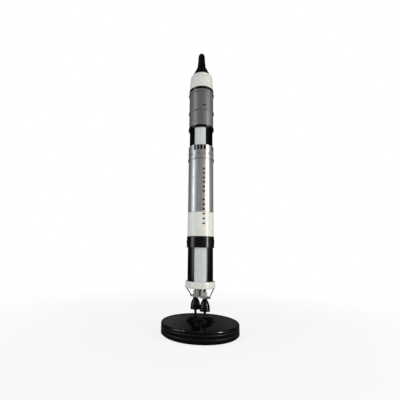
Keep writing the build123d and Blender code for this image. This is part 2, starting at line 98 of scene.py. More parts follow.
lamps = {
    "key": {
        "side": 59, "height": 0.48, "width": 0.28, "tall": 0.94, "power": 8.4, "colour": (1.0, 0.975, 0.93),
    },
    "fill": {
        "side": -69, "height": 0.48, "width": 0.55, "tall": 0.94, "power": 4.0, "colour": (0.8, 0.92, 1.0),
    },
    "spark": {
        "side": -61, "height": 1.5, "width": 0.22, "tall": 0.22, "power": 2.2, "colour": (1.0, 1.0, 1.0),
    },
}


def aroundCamera(side):
    turn = radians(view["azimuth"] - 90 + side)
    return Vector((cos(turn), sin(turn), 0))


def addLamp(name):
    values = lamps[name]
    lamp = bpy.data.lights.new(name, "AREA")
    lamp.shape = "RECTANGLE"
    lamp.size = values["width"]
    lamp.size_y = values["tall"]
    lamp.energy = values["power"]
    lamp.color = values["colour"]
    holder = bpy.data.objects.new(name, lamp)
    scene.collection.objects.link(holder)
    holder.location = aroundCamera(values["side"]) * studio["lampReach"] + zAxis * values["height"]
    aim = holder.location - zAxis * min(values["height"], studio["lampDrop"])
    holder.rotation_euler = aim.to_track_quat("Z", "Y").to_euler()


class Wire:
    # a socket that works in an ordinary expression
    def __init__(self, graph, socket):
        self.graph, self.socket = graph, socket

    def math(self, operation, first, second=0.0):
        return self.graph.add("ShaderNodeMath", {"operation": operation}, {0: first, 1: second, 2: 0.0})

    def __add__(self, other):
        return self.math("ADD", self, other)

    def __sub__(self, other):
        return self.math("SUBTRACT", self, other)

    def __rsub__(self, other):
        return self.math("SUBTRACT", other, self)

    def __mul__(self, other):
        return self.math("MULTIPLY", self, other)

    def __truediv__(self, other):
        return self.math("DIVIDE", self, other)

    def __abs__(self):
        return self.math("ABSOLUTE", self)

    __radd__ = __add__
    __rmul__ = __mul__

    def root(self):
        return self.math("SQRT", self)

    def high(self, other):
        return self.math("MAXIMUM", self, other)

    def wrap(self, length):
        # the distance to the nearest multiple of the length
        return abs(self.math("WRAP", self + length / 2, length) - length / 2)

    def fade(self, start, end):
        # 0 at start, 1 at end, soft between
        smooth = {"interpolation_type": "SMOOTHSTEP"}
        return self.graph.add("ShaderNodeMapRange", smooth, {0: self, 1: start, 2: end})

    def near(self, place, half, blur):
        # 1 within half of a place, fading to 0 over the blur
        return 1 - abs(self - place).fade(half, half + blur)


class Graph:
    def __init__(self, tree):
        self.tree = tree
        tree.nodes.clear()

    def add(self, kind, settings=None, inputs=None, output=0):
        node = self.tree.nodes.new(kind)
        for key, value in (settings or {}).items():
            if key == "stops":
                ramp = node.color_ramp.elements
                while len(ramp) < len(value):
                    ramp.new(0.5)
                for element, (place, colour) in zip(ramp, value):
                    element.position = place
                    element.color = colour
            else:
                setattr(node, key, value)
        for key, value in (inputs or {}).items():
            if isinstance(value, Wire):
                self.tree.links.new(value.socket, node.inputs[key])
            else:
                node.inputs[key].default_value = value
        return Wire(self, node.outputs[output]) if len(node.outputs) else None

    def place(self):
        return self.add("ShaderNodeTexCoord", output="Object")

    def axes(self):
        # the three Object coordinates, in millimetres
        parts = self.add("ShaderNodeSeparateXYZ", inputs={0: self.place()}).socket.node.outputs
        return [Wire(self, parts[axis]) / mm for axis in range(3)]

    def bearing(self, x, y):
        # degrees round the rocket from the X axis
        return self.add("ShaderNodeMath", {"operation": "ARCTAN2"}, {0: y, 1: x}) * (180 / pi)

    def noise(self, grain, detail=3.0, stretch=(1, 1, 1), rough=0.5):
        # grain is the size of a blotch in millimetres
        spots = self.add("ShaderNodeMapping", inputs={"Vector": self.place(), "Scale": stretch})
        inputs = {"Vector": spots, "Scale": 1 / (grain * mm), "Detail": detail, "Roughness": rough}
        return self.add("ShaderNodeTexNoise", inputs=inputs)

    def blend(self, factor, first, second):
        return self.add("ShaderNodeMix", {"data_type": "RGBA"}, {0: factor, 6: first, 7: second}, output=2)

    def bump(self, height, depth):
        return self.add("ShaderNodeBump", inputs={"Height": height, "Distance": depth * mm, "Strength": 1.0})


def rgba(colour, level=1.0):
    return tuple(part * level for part in colour) + (1.0,)


def newFinish(name):
    material = bpy.data.materials.new(name)
    material.use_nodes = True
    return material, Graph(material.node_tree)


def rayKinds(graph):
    rays = graph.add("ShaderNodeLightPath").socket.node.outputs
    return [Wire(graph, rays[name]) for name in ("Is Camera Ray", "Is Glossy Ray", "Is Transmission Ray")]


def dressWorld():
    # plain white to look at and in mirrors, and softer as a light
    world = bpy.data.worlds.new("world")
    world.use_nodes = True
    scene.world = world
    graph = Graph(world.node_tree)
    camera, glossy, through = rayKinds(graph)
    bright = graph.add("ShaderNodeBackground", inputs={"Color": rgba((1, 1, 1)), "Strength": 1.0})
    light = {"Color": rgba((0.98, 0.99, 1)), "Strength": studio["world"]}
    soft = graph.add("ShaderNodeBackground", inputs=light)
    seen = camera.high(glossy).high(through)
    mixed = graph.add("ShaderNodeMixShader", inputs={0: seen, 1: soft, 2: bright})
    graph.add("ShaderNodeOutputWorld", inputs={"Surface": mixed})


def addStage(name, bm, material):
    mesh = bpy.data.meshes.new(name)
    bm.to_mesh(mesh)
    bm.free()
    mesh.materials.append(material)
    stageObject = bpy.data.objects.new(name, mesh)
    scene.collection.objects.link(stageObject)
    return stageObject


def layFloor():
    # white to look at, with a pale shadow near the object, and dim in reflections
    bm = bmesh.new()
    bmesh.ops.create_grid(bm, x_segments=1, y_segments=1, size=6)
    material, graph = newFinish("paleFloor")
    camera, glossy, through = rayKinds(graph)
    x, y, _ = graph.axes()
    reach = (x * x + y * y).root() * (mm / studio["floorReach"])
    shade = (1 - reach.fade(0.2, 1.0)) * studio["floorShade"]
    matt = graph.add("ShaderNodeBsdfDiffuse", inputs={"Color": rgba((0.9, 0.9, 0.9))})
    glow = graph.add("ShaderNodeEmission", inputs={"Color": rgba((1, 1, 1)), "Strength": 1.0})
    dim = graph.add("ShaderNodeEmission", inputs={"Color": rgba((1, 1, 1)), "Strength": studio["floorGlow"]})
    seen = graph.add("ShaderNodeMixShader", inputs={0: camera.high(through) * (1 - shade), 1: matt, 2: glow})
    both = graph.add("ShaderNodeMixShader", inputs={0: glossy, 1: seen, 2: dim})
    graph.add("ShaderNodeOutputMaterial", inputs={"Surface": both})
    addStage("floor", bm, material)


def hangDrape():
    # a cloth round and over the table that only reflections see, with a level for each side
    bm = bmesh.new()
    ring = bmesh.ops.create_circle(bm, segments=96, radius=studio["drapeReach"])["verts"]
    edges = list({edge for vert in ring for edge in vert.link_edges})
    raised = bmesh.ops.extrude_edge_only(bm, edges=edges)["geom"]
    rim = [part for part in raised if isinstance(part, bmesh.types.BMVert)]
    bmesh.ops.translate(bm, verts=rim, vec=zAxis * studio["drapeHeight"])
    lid = [edge for edge in bm.edges if all(vert in rim for vert in edge.verts)]
    bmesh.ops.contextual_create(bm, geom=lid)
    material, graph = newFinish("greyDrape")
    x, y, z = graph.axes()
    front, right = aroundCamera(0), aroundCamera(90)
    ahead = x * front.x + y * front.y
    across = x * right.x + y * right.y
    around = graph.bearing(ahead, across) / 360 + 0.5
    stops = [(side / 360 + 0.5, rgba((1, 1, 1), level)) for side, level in studio["drapeLevels"]]
    shade = graph.add("ShaderNodeValToRGB", {"stops": stops}, {0: around})
    start, end, left = studio["drapeShade"]
    foot = 1 - (z * mm).fade(0.0, studio["drapeFoot"])
    darkened = (z * mm).fade(start, end).high(foot) * (1 - left)
    colour = graph.blend(darkened, shade, rgba((0, 0, 0)))
    glow = graph.add("ShaderNodeEmission", inputs={"Color": colour, "Strength": 1.0})
    graph.add("ShaderNodeOutputMaterial", inputs={"Surface": glow})
    drape = addStage("drape", bm, material)
    drape.visible_camera = False
    drape.visible_diffuse = False
    drape.visible_shadow = False
    drape.visible_transmission = False


scene.view_settings.view_transform = "Standard"
placeCamera()
dressWorld()
layFloor()
hangDrape()
for lampName in lamps:
    addLamp(lampName)
print("studio ready")

# how each paint looks: colour, how metallic, rough and shiny, how strong its clear coat and how uneven it is
paints = {
    "glossBlack": {
        "colour": (0.0012, 0.0012, 0.0013), "rough": 0.12, "coat": 0.1, "peel": 0.012, "dust": 0.008,
        "spec": 0.4,
    },
    "lacquer": {
        "colour": (0.0012, 0.0012, 0.0013), "rough": 0.09, "coat": 0.18, "peel": 0.008, "dust": 0.015,
    },
    "satinBlack": {
        "colour": (0.006, 0.006, 0.0065), "rough": 0.4, "coat": 0.0, "peel": 0.03, "dust": 0.03, "spec": 0.3,
    },
    "capsuleBlack": {
        "colour": (0.0022, 0.0018, 0.0024), "rough": 0.3, "coat": 0.0, "peel": 0.02, "dust": 0.01,
        "spec": 0.12,
    },
    "white": {"colour": (0.86, 0.84, 0.78), "rough": 0.28, "coat": 0.2, "peel": 0.02, "dust": 0.0},
    "mattStriped": {
        "colour": (0.69, 0.715, 0.705), "rough": 0.42, "coat": 0.0, "peel": 0.015, "dust": 0.0, "spec": 0.03,
    },
    "striped": {
        "colour": (0.69, 0.715, 0.72), "rough": 0.14, "coat": 0.03, "peel": 0.015, "dust": 0.0, "spec": 0.3,
    },
    "lightGrey": {"colour": (0.5, 0.5, 0.49), "rough": 0.35, "coat": 0.1, "peel": 0.02, "dust": 0.03},
    "silver": {
        "colour": (0.66, 0.655, 0.64), "rough": 0.32, "coat": 0.03, "metal": 0.74, "peel": 0.02, "dust": 0.0,
    },
    "darkSilver": {
        "colour": (0.29, 0.287, 0.278), "rough": 0.4, "coat": 0.0, "metal": 0.6, "peel": 0.02, "dust": 0.0,
    },
    "steel": {
        "colour": (0.6, 0.59, 0.57), "rough": 0.26, "coat": 0.0, "metal": 1.0, "peel": 0.01, "dust": 0.0,
    },
}
black = rgba(paints["glossBlack"]["colour"])
dustTone = rgba((0.3, 0.29, 0.27))


def paintedFinish(name, paint, seams=(), pattern=None):
    # a sprayed model paint with uneven tone, dust, orange peel, and darkening at the seams at the given
    # heights, partly grime and partly painted shade
    material, graph = newFinish(name)
    values = paints[paint]
    x, y, z = graph.axes()
    colour, height, shine = rgba(values["colour"]), 0.0, 0.0
    if pattern:
        colour, height, shine = pattern(graph, x, y, z, colour)
    cloud = graph.noise(14.0, 4.0)
    specks = graph.noise(0.5, 2.0).fade(0.7, 0.78)
    rubbed = graph.noise(5.0, 6.0, rough=0.7).fade(0.6, 0.76)
    cloudy = graph.blend(cloud.fade(0.3, 0.7) * 0.25, colour, graph.blend(0.25, colour, rgba((0, 0, 0))))
    if "metal" in values:
        streaks = graph.noise(4.0, 3.0, stretch=(1, 1, 0.015)).fade(0.4, 0.6)
        cloudy = graph.blend(streaks * 0.26, cloudy, rgba((0.05, 0.04, 0.03)))
    dusty = graph.blend(specks * 0.02 + rubbed * values["dust"], cloudy, dustTone)
    for seam in seams:
        # painted shade mixed with grime: the paint darkens close to each seam height
        seamShadeAndGrime = z.near(seam, 0.1, 0.7) * (graph.noise(2.5, 4.0) * 0.5 + 0.15)
        dusty = graph.blend(seamShadeAndGrime, dusty, rgba((0.03, 0.03, 0.028)))
    peel = graph.noise(1.2, 2.0) * 0.7 + graph.noise(0.25, 1.0) * 0.3
    rough = cloud * 0.08 + rubbed * 0.12 + specks * 0.15 + (values["rough"] - 0.04) + shine
    inputs = {
        "Base Color": dusty,
        "Metallic": values.get("metal", 0.0),
        "Roughness": rough,
        "Normal": graph.bump(peel * values["peel"] + height, 1.0),
        "Specular IOR Level": values.get("spec", 0.5),
        "Coat Weight": values["coat"],
        "Coat Roughness": 0.06,
    }
    shader = graph.add("ShaderNodeBsdfPrincipled", inputs=inputs)
    graph.add("ShaderNodeOutputMaterial", inputs={"Surface": shader})
    return material


record = frame["record"]
bodyOf = {node: body for body, nodes in record["behaviour"]["bodies"].items() for node in nodes}


def span(node):
    # a node's lowest and highest point and its half width, in millimetres
    low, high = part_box(node)
    return low[2] / mm, high[2] / mm, (high[0] - low[0]) / 2 / mm


def roundEdges(bm, soft, crease=28, segments=2):
    sharp = [e for e in bm.edges if len(e.link_faces) == 2 and e.calc_face_angle() > radians(crease)]
    bmesh.ops.bevel(
        bm, geom=sharp, offset=soft * mm, offset_type="OFFSET", segments=segments, profile=0.5,
        affect="EDGES", material=-1, clamp_overlap=True,
    )


def turned(outline, steps=112, soft=0.2, crease=28, at=(0, 0)):
    # a closed outline of (radius, height) in millimetres, turned about an upright axis
    bm = bmesh.new()
    verts = [bm.verts.new((radius * mm, 0, height * mm)) for radius, height in outline]
    pairs = [pair for pair in zip(verts, verts[1:] + verts[:1]) if pair[0].co.x + pair[1].co.x > 1e-7]
    edges = [bm.edges.new(pair) for pair in pairs]
    bmesh.ops.spin(
        bm, geom=verts + edges, cent=(0, 0, 0), axis=(0, 0, 1), dvec=(0, 0, 0), angle=2 * pi, steps=steps,
        use_merge=True, use_duplicate=False,
    )
    bmesh.ops.remove_doubles(bm, verts=bm.verts, dist=2e-6)
    bmesh.ops.recalc_face_normals(bm, faces=bm.faces)
    if soft:
        roundEdges(bm, soft, crease)
    bmesh.ops.translate(bm, verts=bm.verts, vec=(at[0] * mm, at[1] * mm, 0))
    return bm


def gather(parts):
    # several shapes as one
    whole = bmesh.new()
    for part in parts:
        mesh = bpy.data.meshes.new("part")
        part.to_mesh(mesh)
        part.free()
        whole.from_mesh(mesh)
        bpy.data.meshes.remove(mesh)
    return whole


def around(makeShape, count, start=0.0):
    # the same shape, made facing +X, set out evenly round the Z axis
    copies = []
    for number in range(count):
        copy = makeShape()
        turn = Matrix.Rotation(radians(start + number * 360 / count), 3, "Z")
        bmesh.ops.rotate(copy, verts=copy.verts, cent=(0, 0, 0), matrix=turn)
        copies.append(copy)
    return gather(copies)


def block(size, centre, soft, segments=2):
    bm = bmesh.new()
    bmesh.ops.create_cube(bm, size=mm)
    bmesh.ops.scale(bm, verts=bm.verts, vec=size)
    roundEdges(bm, soft, segments=segments)
    bmesh.ops.translate(bm, verts=bm.verts, vec=Vector(centre) * mm)
    return bm


def stud(radius, length, centre, sides=6, lean="Z"):
    # a bolt or screw head with a softened top, along Z or looking out along X
    bm = bmesh.new()
    bmesh.ops.create_cone(
        bm, cap_ends=True, segments=sides, radius1=radius * mm, radius2=radius * mm, depth=length * mm,
    )
    roundEdges(bm, radius * 0.2, crease=50, segments=1)
    if lean == "X":
        bmesh.ops.rotate(bm, verts=bm.verts, cent=(0, 0, 0), matrix=Matrix.Rotation(pi / 2, 3, "Y"))
    bmesh.ops.translate(bm, verts=bm.verts, vec=Vector(centre) * mm)
    return bm


def softCopy(node, soft, crease=30):
    # a CAD node's own shape, merged and with its hard edges rounded
    bm = bmesh.new()
    bm.from_mesh(frame["nodes"][node].data)
    bmesh.ops.remove_doubles(bm, verts=bm.verts, dist=2e-6)
    bmesh.ops.dissolve_limit(bm, angle_limit=radians(0.4), verts=bm.verts, edges=bm.edges)
    roundEdges(bm, soft, crease)
    return bm


def finishPiece(name, bm, node, material, crease=35):
    # a finished piece that takes the place of a CAD node
    for face in bm.faces:
        face.smooth = True
    for edge in bm.edges:
        edge.smooth = len(edge.link_faces) == 2 and edge.calc_face_angle() < radians(crease)
    mesh = bpy.data.meshes.new(name)
    bm.to_mesh(mesh)
    bm.free()
    mesh.materials.append(material)
    piece = bpy.data.objects.new(name, mesh)
    scene.collection.objects.link(piece)
    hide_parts(node)
    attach(piece, bodyOf[node])
    return piece


plainPaints = ("glossBlack", "satinBlack", "capsuleBlack", "white", "lightGrey", "darkSilver", "steel")
plain = {name: paintedFinish(name + "Paint", name) for name in plainPaints}
engineSpots = {"left": -1, "right": 1}
engineX = (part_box("support_pin_right")[0][0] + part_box("support_pin_right")[1][0]) / 2 / mm

# the stand: a lacquered disc on felt, with a boss in the middle
baseShape = {
    "edgeHeight": 26.0,
    "shoulder": 3.0,
    "rimWidth": 6.0,
    "rimSlope": 1.0,
    "rimFlat": 3.0,
    "rimStep": 0.7,
    "dishRise": 1.0,
    "bossFoot": 39.5,
    "bossFlat": 22.0,
    "grooves": (10.4, 19.0),
    "grooveHalf": 0.9,
    "grooveDepth": 1.1,
    "footInset": 3.0,
    "footRise": 2.6,
    "feltInset": 4.7,
}


def makeBase():
    shape = baseShape
    low, top, radius = span("base_disc")
    feltTop = span("base_felt")[1]
    edge = shape["edgeHeight"]
    outline = [(0, feltTop), (radius - shape["feltInset"], feltTop), (radius - shape["feltInset"], low)]
    outline += [(radius - shape["footInset"], low), (radius, low + shape["footRise"])]
    for groove in shape["grooves"]:
        half = shape["grooveHalf"]
        outline += [(radius, groove - half), (radius - shape["grooveDepth"], groove), (radius, groove + half)]
    for step in range(7):
        lean = radians(step * 15)
        reach = shape["shoulder"]
        outline.append((radius - reach + reach * cos(lean), edge - reach + reach * sin(lean)))
    rim = radius - shape["rimWidth"]
    dish = edge + shape["dishRise"]
    sunk = edge - shape["rimStep"]
    outline += [(rim, edge), (rim - shape["rimSlope"], sunk), (rim - shape["rimFlat"], sunk)]
    for step in range(17):
        part = step / 16
        rise = part ** 3 * (10 + part * (6 * part - 15))  # level at both ends
        across = shape["bossFoot"] + (shape["bossFlat"] - shape["bossFoot"]) * part
        outline.append((across, dish + (top - dish) * rise))
    outline.append((0, top))
    return turned(outline, steps=160, soft=0.25, crease=22)


def lacquerScuffs(graph, x, y, z, colour):
    # turning marks left round the disc, fine hairlines in the lacquer, and dull dust in the side grooves
    reach = (x * x + y * y).root()
    rings = reach.wrap(1.7).fade(0.0, 0.85)
    scratches = graph.noise(3.0, 8.0, stretch=(1, 14, 1), rough=0.8).fade(0.62, 0.7)
    low, high = baseShape["grooves"]
    dull = z.near(low, 1.1, 0.3).high(z.near(high, 1.1, 0.3))
    dusted = graph.blend(dull * graph.noise(2.0, 4.0) * 0.03, colour, dustTone)
    return dusted, rings * 0.002, scratches * 0.06 + dull * 0.4


baseLacquer = paintedFinish("baseLacquer", "lacquer", pattern=lacquerScuffs)
finishPiece("baseDisc", makeBase(), "base_disc", baseLacquer)


def feltFinish():
    material, graph = newFinish("baseFelt")
    fibres = graph.noise(0.35, 6.0, stretch=(1, 3, 1), rough=0.8)
    pile = graph.noise(1.8, 3.0)
    colour = graph.blend(fibres.fade(0.3, 0.7), rgba((0.012, 0.016, 0.013)), rgba((0.05, 0.056, 0.05)))
    bumps = graph.bump(fibres + pile * 0.5, 0.3)
    inputs = {"Base Color": colour, "Roughness": 0.95, "Normal": bumps, "Sheen Weight": 0.4}
    shader = graph.add("ShaderNodeBsdfPrincipled", inputs=inputs)
    graph.add("ShaderNodeOutputMaterial", inputs={"Surface": shader})
    return material


def dressNode(node, material):
    # a CAD node that is shown as it is
    data = frame["nodes"][node].data
    data.materials.clear()
    data.materials.append(material)


dressNode("base_felt", feltFinish())

pinRadius = span("support_pin_left")[2]
pinShape = {"foot": 0.5, "tip": 0.6, "waist": 0.25, "waistHeight": 0.5, "waists": (1.2, 2.2)}
ferruleShape = {"gap": 0.05, "sleeve": 3.5, "flange": 4.4, "flangeHeight": 0.6, "top": 3.2, "slope": 0.5}


def makePin(side):
    # a rod with two shallow waists above its ferrule
    low, top, _ = span("support_pin_" + side)
    tip, foot, height = pinShape["tip"], pinShape["foot"], pinShape["waistHeight"]
    start = span("pin_ferrules")[1]
    outline = [(0, low), (pinRadius - foot, low), (pinRadius, low + foot)]
    for waist in pinShape["waists"]:
        ring = start + waist
        narrow = pinRadius - pinShape["waist"]
        outline += [(pinRadius, ring), (narrow, ring + height / 2), (pinRadius, ring + height)]
    outline += [(pinRadius, top - tip), (pinRadius - tip, top), (0, top)]
    return turned(outline, steps=40, soft=0.08, at=(engineSpots[side] * engineX, 0))


def makeFerrules():
    low, top, _ = span("pin_ferrules")
    bossTop = span("base_disc")[1]
    shape = ferruleShape
    hole, sleeve, flange, upper = pinRadius + shape["gap"], shape["sleeve"], shape["flange"], shape["top"]
    outline = [(hole, low), (sleeve, low), (sleeve, bossTop)]
    outline += [(flange, bossTop), (flange, bossTop + shape["flangeHeight"])]
    outline += [(upper + shape["slope"], top - shape["slope"]), (upper, top), (hole, top)]
    return gather([turned(outline, steps=48, soft=0.12, at=(sign * engineX, 0)) for sign in (-1, 1)])


for side in engineSpots:
    finishPiece("supportPin." + side, makePin(side), "support_pin_" + side, plain["satinBlack"])
finishPiece("pinFerrules", makeFerrules(), "pin_ferrules", plain["glossBlack"])
for node in ("pin_washers", "pin_nuts"):
    finishPiece(node.replace("_", "."), softCopy(node, 0.15), node, plain["steel"])
print("stand ready")

# the engines: gloss-black bells with rolled bands, hung from a plate
bellShape = {
    "wall": 1.0,
    "band": 0.5,
    "bandHeight": 1.3,
    "bandGap": 2.6,
    "neck": 5.0,
    "neckDrop": 3.6,
    "throatDrop": 6.0,
    "socketGap": 0.1,
    "flange": 1.2,
    "flangeHeight": 2.0,
    "fullness": 1.9,
    "slimness": 0.8,
    "hoops": (0.34, 0.62),
    "hoopHalf": 0.02,
    "hoopRise": 0.35,
    "bolts": 12,
    "boltInset": 0.7,
    "boltDrop": 0.3,
}


def bellCurve(part, wide, narrow):
    # from the wide mouth at 0 to the narrow neck at 1
    return narrow + (wide - narrow) * (1 - part ** bellShape["fullness"]) ** bellShape["slimness"]


def makeBell(side):
    shape = bellShape
    low, top, bandRadius = span("engine_bell_" + side)
    mouth = bandRadius - shape["band"]
    neck = shape["neck"]
    neckZ = top - shape["neckDrop"]
    height = shape["bandHeight"]
    first = low + height
    second = first + shape["bandGap"]
    start = second + height
    outline = [(mouth - shape["wall"], low), (bandRadius, low), (bandRadius, first), (mouth, first)]
    outline += [(mouth, second), (bandRadius, second), (bandRadius, start), (mouth, start)]
    for step in range(1, 25):
        part = step / 24
        raised = any(abs(part - hoop) < shape["hoopHalf"] for hoop in shape["hoops"])
        radius = bellCurve(part, mouth, neck) + (shape["hoopRise"] if raised else 0)
        outline.append((radius, start + (neckZ - start) * part))
    flange = top - shape["flangeHeight"]
    flangeRadius = neck + shape["flange"]
    outline += [(neck, flange), (flangeRadius, flange), (flangeRadius, top), (0, top)]
    socket = pinRadius + shape["socketGap"]
    socketTop = span("support_pin_" + side)[1] + shape["socketGap"]
    throat = neckZ - shape["throatDrop"]
    outline += [(0, socketTop), (socket, socketTop), (socket, throat)]
    for step in range(17, 0, -1):
        part = step / 18
        inner = bellCurve(part, mouth - shape["wall"], socket)
        outline.append((inner, low + (throat - low) * part))
    centre = (engineSpots[side] * engineX, 0)
    bell = turned(outline, steps=72, soft=0.12, crease=30, at=centre)

    def bolt():
        return stud(0.5, 0.7, (flangeRadius - shape["boltInset"], 0, flange - shape["boltDrop"]))

    bolts = around(bolt, shape["bolts"])
    bmesh.ops.translate(bolts, verts=bolts.verts, vec=Vector((centre[0], 0, 0)) * mm)
    return gather([bell, bolts])


def bellTubes(side):
    # the fine cooling tubes that run down the wall
    def pattern(graph, x, y, z, colour):
        bearing = graph.bearing(x - engineSpots[side] * engineX, y)
        tubes = bearing.wrap(5.0).fade(0.3, 2.2)
        bandTop = span("engine_bell_" + side)[0] + bellShape["bandGap"] + 2 * bellShape["bandHeight"]
        lower = z.fade(bandTop + 0.2, bandTop + 1.0)
        return graph.blend(tubes * 0.3, colour, rgba((0.008, 0.008, 0.0085))), tubes * lower * 0.02, 0.0
    return pattern


for side in engineSpots:
    material = paintedFinish("bellPaint." + side, "glossBlack", pattern=bellTubes(side))
    finishPiece("engineBell." + side, makeBell(side), "engine_bell_" + side, material)

chamberShape = {
    "body": 5.0,
    "flange": 6.1,
    "flangeHeight": 1.4,
    "flangeDrop": 4.6,
    "manifold": 0.8,
    "manifoldHalf": 1.1,
    "bolts": 10,
    "boltRing": 0.55,
    "spigot": 3.4,
}


def makeChamber(side):
    shape = chamberShape
    low, top, _ = span("thrust_chamber_" + side)
    plateTop = span("engine_frame")[1]
    body = shape["body"]
    flangeTop = top - shape["flangeDrop"] + shape["flangeHeight"]
    flangeLow = top - shape["flangeDrop"]
    outline = [(0, low), (shape["spigot"], low), (shape["spigot"], plateTop), (body, plateTop)]
    middle = (plateTop + flangeLow) / 2
    for step in range(9):
        lean = radians(-90 + step * 22.5)
        outline.append((body + shape["manifold"] * cos(lean), middle + shape["manifoldHalf"] * sin(lean)))
    flange = shape["flange"]
    outline += [(body, flangeLow), (flange, flangeLow), (flange, flangeTop), (body, flangeTop)]
    for step in range(1, 10):
        lean = radians(step * 10)
        outline.append((body * cos(lean), flangeTop + (top - flangeTop) * sin(lean)))
    outline.append((0, top))
    chamber = turned(outline, steps=56, soft=0.15)
    bolts = around(lambda: stud(0.42, 0.5, (body + shape["boltRing"], 0, flangeTop + 0.2)), shape["bolts"])
    whole = gather([chamber, bolts])
    bmesh.ops.translate(whole, verts=whole.verts, vec=Vector((engineSpots[side] * engineX, 0, 0)) * mm)
    return whole


gimbalShape = {
    "body": 2.6,
    "waist": 1.9,
    "lowHeight": 3.8,
    "highDrop": 3.0,
    "slope": 0.6,
    "pad": 1.8,
    "padRim": 0.8,
}


def makeGimbal(side):
    # a waisted block under a round pad
    shape = gimbalShape
    low, top, pad = span("gimbal_block_" + side)
    body, waist, slope = shape["body"], shape["waist"], shape["slope"]
    neck, head = low + shape["lowHeight"], top - shape["highDrop"]
    padLow = top - shape["pad"]
    outline = [(0, low), (body, low), (body, neck), (waist, neck + slope)]
    outline += [(waist, head - slope), (body, head)]
    outline += [(pad - shape["padRim"], padLow - slope), (pad, padLow), (pad, top), (0, top)]
    return turned(outline, steps=48, soft=0.12, at=(engineSpots[side] * engineX, 0))


pumpShape = {
    "body": 2.9,
    "skin": 0.3,
    "ribs": (3.2, 6.0, 8.8),
    "ribHalf": 0.5,
    "arm": 3.4,
    "armLift": 1.2,
    "armHeight": 4.0,
    "offset": 9.2,
}


def makePump(side):
    # a ribbed drum beside its chamber, on a short arm
    low, top, _ = span("turbopump_" + side)
    body, ribHalf = pumpShape["body"], pumpShape["ribHalf"]
    skin = body - pumpShape["skin"]
    outline = [(0, low), (body - 0.9, low), (skin, low + 0.7)]
    for rib in pumpShape["ribs"]:
        middle = low + rib
        outline += [(skin, middle - ribHalf), (body, middle - ribHalf + 0.1)]
        outline += [(body, middle + ribHalf - 0.1), (skin, middle + ribHalf)]
    outline += [(skin, top - 1.0), (body - 1.2, top), (0, top)]
    sign = engineSpots[side]
    pump = turned(outline, steps=40, soft=0.1, at=(sign * engineX, -sign * pumpShape["offset"]))
    inner = chamberShape["body"] - 0.4
    length = pumpShape["offset"] - inner
    height = low + pumpShape["armLift"] + pumpShape["armHeight"] / 2
    centre = (sign * engineX, -sign * (inner + length / 2), height)
    arm = block((pumpShape["arm"], length, pumpShape["armHeight"]), centre, 0.6, 3)
    return gather([pump, arm])


lineShape = {"neck": 0.72, "flange": 0.6, "folds": 5, "fold": 1.0}


def makeLine(side):
    # a feed pipe with a bellows in the middle and a flange at each end
    low, top, radius = span("propellant_line_" + side)
    lowBox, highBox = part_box("propellant_line_" + side)
    centre = [(lowBox[axis] + highBox[axis]) / 2 / mm for axis in (0, 1)]
    pipe, flange, fold = radius * lineShape["neck"], lineShape["flange"], lineShape["fold"]
    outline = [(0, low), (radius, low), (radius, low + flange), (pipe, low + flange)]
    start = (low + top) / 2 - 2.4 * fold
    for number in range(lineShape["folds"]):
        height = start + number * fold
        outline += [(pipe, height), (radius, height + 0.3 * fold), (pipe, height + 0.6 * fold)]
    outline += [(pipe, top - flange), (radius, top - flange), (radius, top), (0, top)]
    return turned(outline, steps=28, soft=0.05, at=centre)


for side in engineSpots:
    finishPiece("thrustChamber." + side, makeChamber(side), "thrust_chamber_" + side, plain["lightGrey"])
    finishPiece("gimbalBlock." + side, makeGimbal(side), "gimbal_block_" + side, plain["satinBlack"])
    finishPiece("turbopump." + side, makePump(side), "turbopump_" + side, plain["lightGrey"])
    finishPiece("propellantLine." + side, makeLine(side), "propellant_line_" + side, plain["satinBlack"])


def darkTips(graph, x, y, z, colour):
    # the ends of the plate, where the struts are glued, blend to black
    end = span("engine_frame")[2]
    tips = abs(x).fade(end - 6.0, end - 4.5)
    return graph.blend(tips * 0.92, colour, black), 0.0, 0.0


framePaint = paintedFinish("framePaint", "lightGrey", pattern=darkTips)
finishPiece("engineFrame", softCopy("engine_frame", 0.4), "engine_frame", framePaint)
finishPiece("frameStruts", softCopy("frame_struts", 0.1), "frame_struts", plain["darkSilver"])
finishPiece("strutPads", softCopy("strut_pads", 0.25), "strut_pads", plain["darkSilver"])
finishPiece("thrustPosts", softCopy("thrust_posts", 0.2), "thrust_posts", plain["white"])
finishPiece("centreColumn", softCopy("centre_column", 0.25), "centre_column", plain["glossBlack"])
print("engines ready")

# the plain tick marks up the side, in two runs, and the white panels between black ones
marks = {"side": 13.4, "half": 5.6, "height": 3.6, "rows": ((378.0, 322.5, 11.1), (302.4, 245.9, 11.3))}
panels = {"aftSide": 0.0, "aftHalf": 27.0, "upperSide": -4.5, "upperHalf": 27.5}
front = view["azimuth"] - 90  # the bearing that faces the camera


def markMask(graph, x, y, z):
    # 1 on the tick marks
    bearing = graph.bearing(x, y)
    centre = front + marks["side"]
    column = bearing.near(centre, marks["half"], 0.5)
    found = None
    for top, bottom, pitch in marks["rows"]:
        half = marks["height"] / 2
        row = 1 - (z - top).wrap(pitch).fade(half, half + 0.25)
        inside = z.near((top + bottom) / 2, (top - bottom) / 2 + marks["height"], 0.1)
        found = row * inside if found is None else found.high(row * inside)
    return found * column


def panelMask(graph, x, y, side, half):
    # 1 on the white panels, one at each end of a line through the rocket
    line = aroundCamera(side)
    reach = (x * x + y * y).root()
    facing = abs(x * line.x + y * line.y) / reach
    edge = cos(radians(half))
    return facing.fade(edge - 0.004, edge + 0.004)


def seamLines(graph, x, y, count, width, start=0.0):
    # upright joints between skin panels, evenly set out
    bearing = graph.bearing(x, y) - start
    return 1 - bearing.wrap(360 / count).fade(width, width + 0.5)


def rivetRows(graph, x, y, z, heights, pitch):
    # small domed rivets in rows round the tube
    bearing = graph.bearing(x, y).wrap(pitch) * 0.54  # about the millimetres to a degree round a tube
    found = None
    for height in heights:
        away = z - height
        spot = 1 - (bearing * bearing + away * away).fade(0.02, 0.16)
        found = spot if found is None else found.high(spot)
    return found


